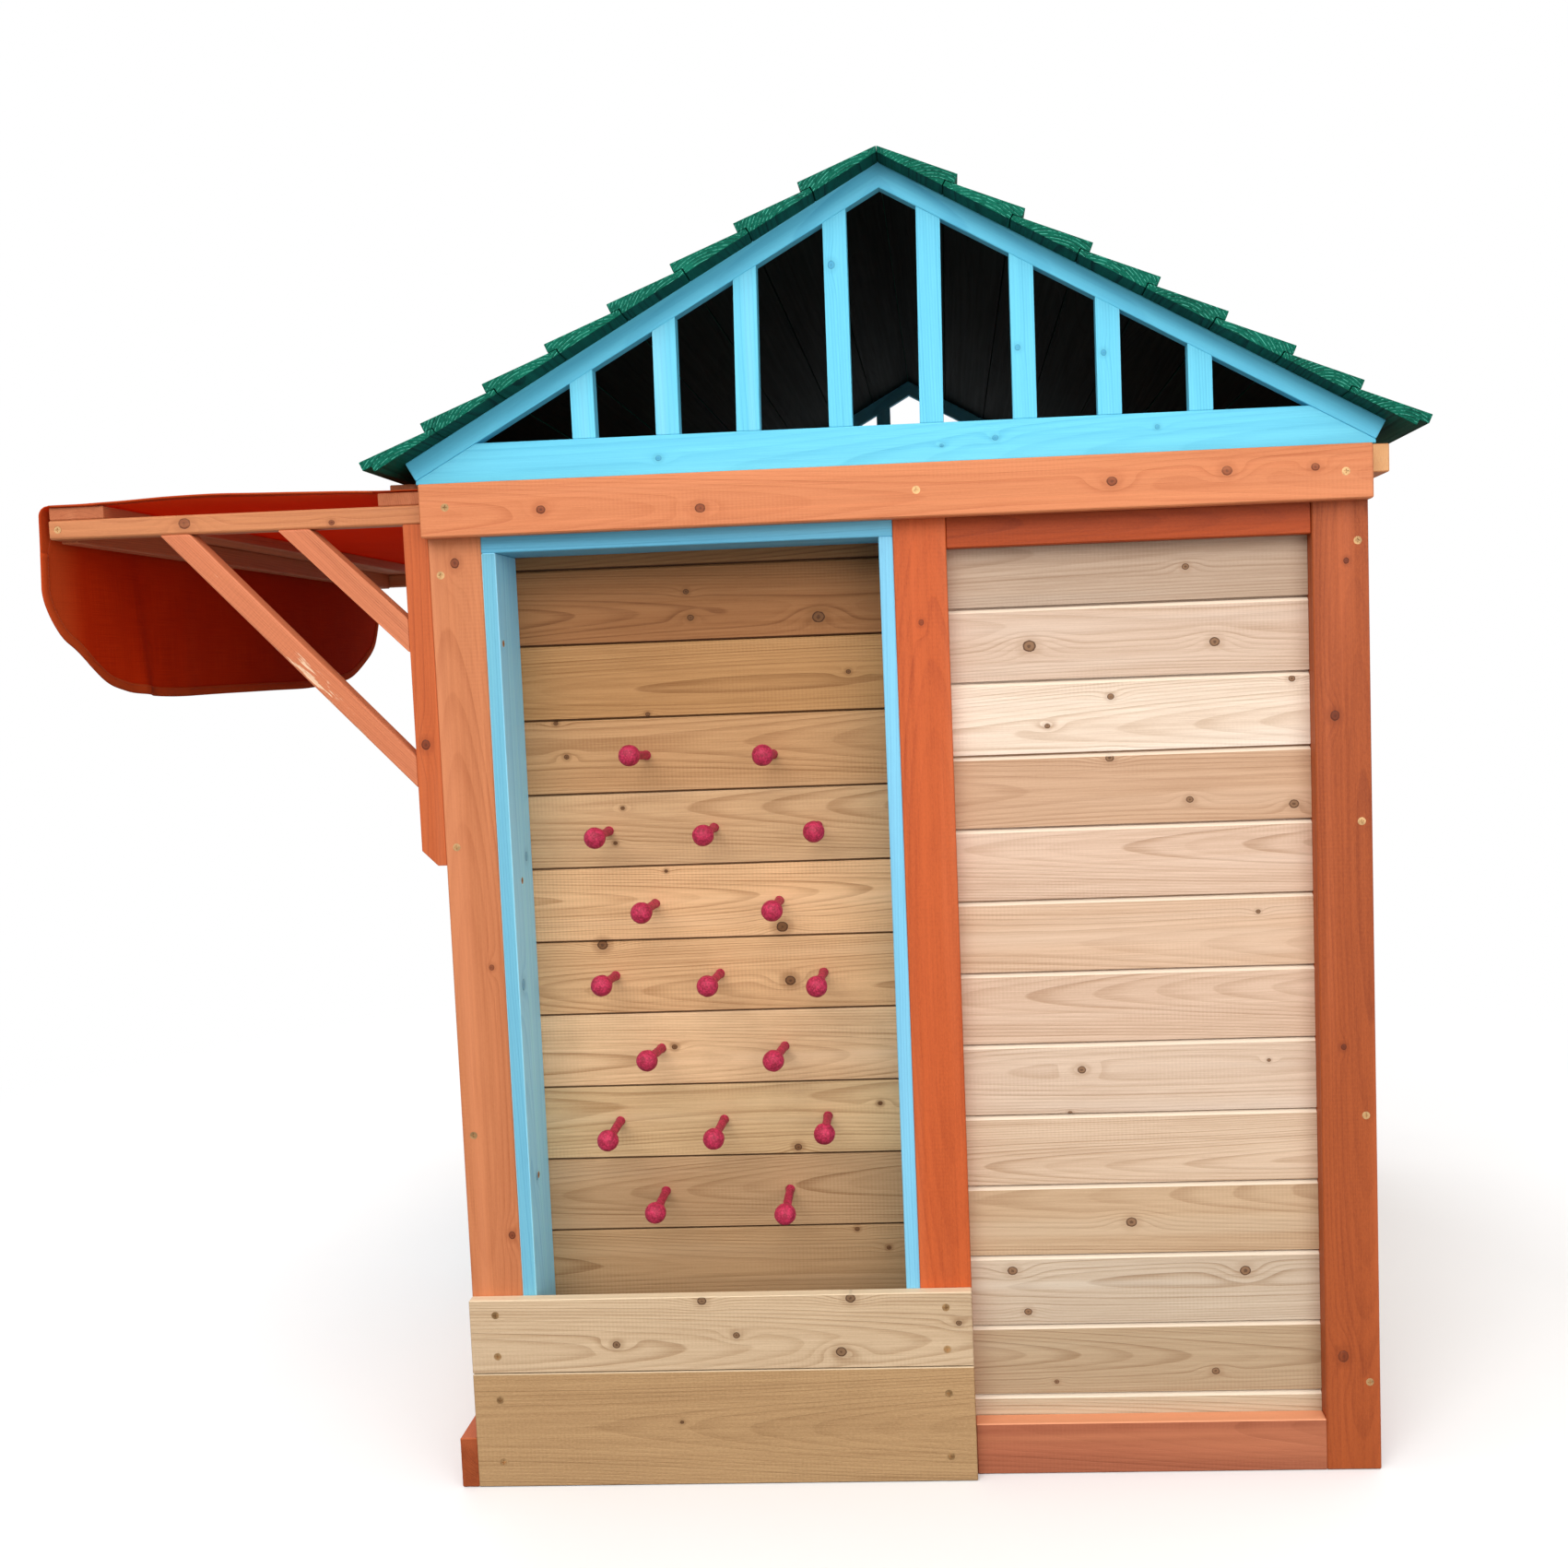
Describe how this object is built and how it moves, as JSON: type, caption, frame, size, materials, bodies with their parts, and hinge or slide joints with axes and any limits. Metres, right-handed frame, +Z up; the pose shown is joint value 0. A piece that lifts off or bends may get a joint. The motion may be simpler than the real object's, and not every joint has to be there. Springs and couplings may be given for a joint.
{
  "type": "playhouse with peg climbing wall",
  "caption": "Wooden play house whose gable end is a peg climbing wall in a lined recess above a catch tray; boarded walls, slatted gables, lapped board roof, half door, canvas awning.",
  "frame": {"origin": "on the ground, under the middle of the whole object's bounding box", "axes": "+Z up; -Y is the way the gable end with the peg climbing wall faces; -X is the awning side; the ridge runs along Y"},
  "size_m": [1.582, 1.328, 1.5147],
  "materials": {
    "orange_stain": "semi-transparent orange stain, satin",
    "blue_paint": "light blue wood paint, satin",
    "green_paint": "dark green wood stain, matte",
    "peg_wall_wood": "natural knotty softwood, bare",
    "pale_wood": "pale natural softwood boarding, bare",
    "kickboard_wood": "natural softwood, bare",
    "rough_pine": "sawn softwood, bare",
    "crimson_paint": "crimson paint, rough brushed",
    "zinc_screws": "yellow zinc plated",
    "hinge_steel": "zinc plated steel",
    "canvas": "orange-red woven canvas"
  },
  "bodies": {
    "house": {"awning_arms": "orange_stain", "awning_battens": "orange_stain", "awning_canvas": "canvas", "awning_cleats": "orange_stain", "awning_front_rail": "orange_stain", "awning_struts_long": "orange_stain", "awning_struts_short": "orange_stain", "catch_tray_floor": "blue_paint", "counter_boards": "pale_wood", "counter_shelf": "orange_stain", "door_stop": "orange_stain", "far_wall_boards": "pale_wood", "far_wall_rails": "orange_stain", "gable_far_chord": "blue_paint", "gable_far_rakes": "blue_paint", "gable_far_slats": "blue_paint", "gable_near_chord": "blue_paint", "gable_near_rakes": "blue_paint", "gable_near_slats": "blue_paint", "header_far": "orange_stain", "header_near": "orange_stain", "hinge_pins": "hinge_steel", "hinge_post_leaves": "hinge_steel", "hinge_screws_post": "zinc_screws", "kickboard_lower": "kickboard_wood", "kickboard_upper": "kickboard_wood", "left_wall_rails": "orange_stain", "near_rail_bottom": "orange_stain", "near_rail_top": "orange_stain", "near_wall_boards": "pale_wood", "panel_battens": "rough_pine", "peg_box_side_left": "blue_paint", "peg_box_side_right": "blue_paint", "peg_box_top": "blue_paint", "peg_wall_boards": "peg_wall_wood", "post_near_centre": "orange_stain", "post_near_left": "orange_stain", "post_near_right": "orange_stain", "posts_awning_side": "orange_stain", "posts_far": "orange_stain", "right_eave_rail": "orange_stain", "right_wall_boards": "pale_wood", "right_wall_rails": "orange_stain", "right_wall_stud": "rough_pine", "roof_boards_left": "green_paint", "roof_boards_right": "green_paint", "side_panel_boards": "pale_wood", "sill_board_left": "orange_stain", "top_plate_left": "orange_stain", "wall_pegs": "crimson_paint", "wall_stiles": "orange_stain", "wood_screws": "zinc_screws"},
    "half_door": {"door_boards": "blue_paint", "door_ledges": "orange_stain", "door_brace": "orange_stain", "door_knob": "crimson_paint", "hinge_door_leaves": "hinge_steel", "hinge_screws_door": "zinc_screws"}
  },
  "joints": [
    {"name": "half_door_hinge", "type": "hinge", "parent": "house", "child": "half_door", "pos_m": [-0.334, -0.0875, 0.42], "axis": [0, 0, 1], "range_deg": [0, 100]}
  ]
}
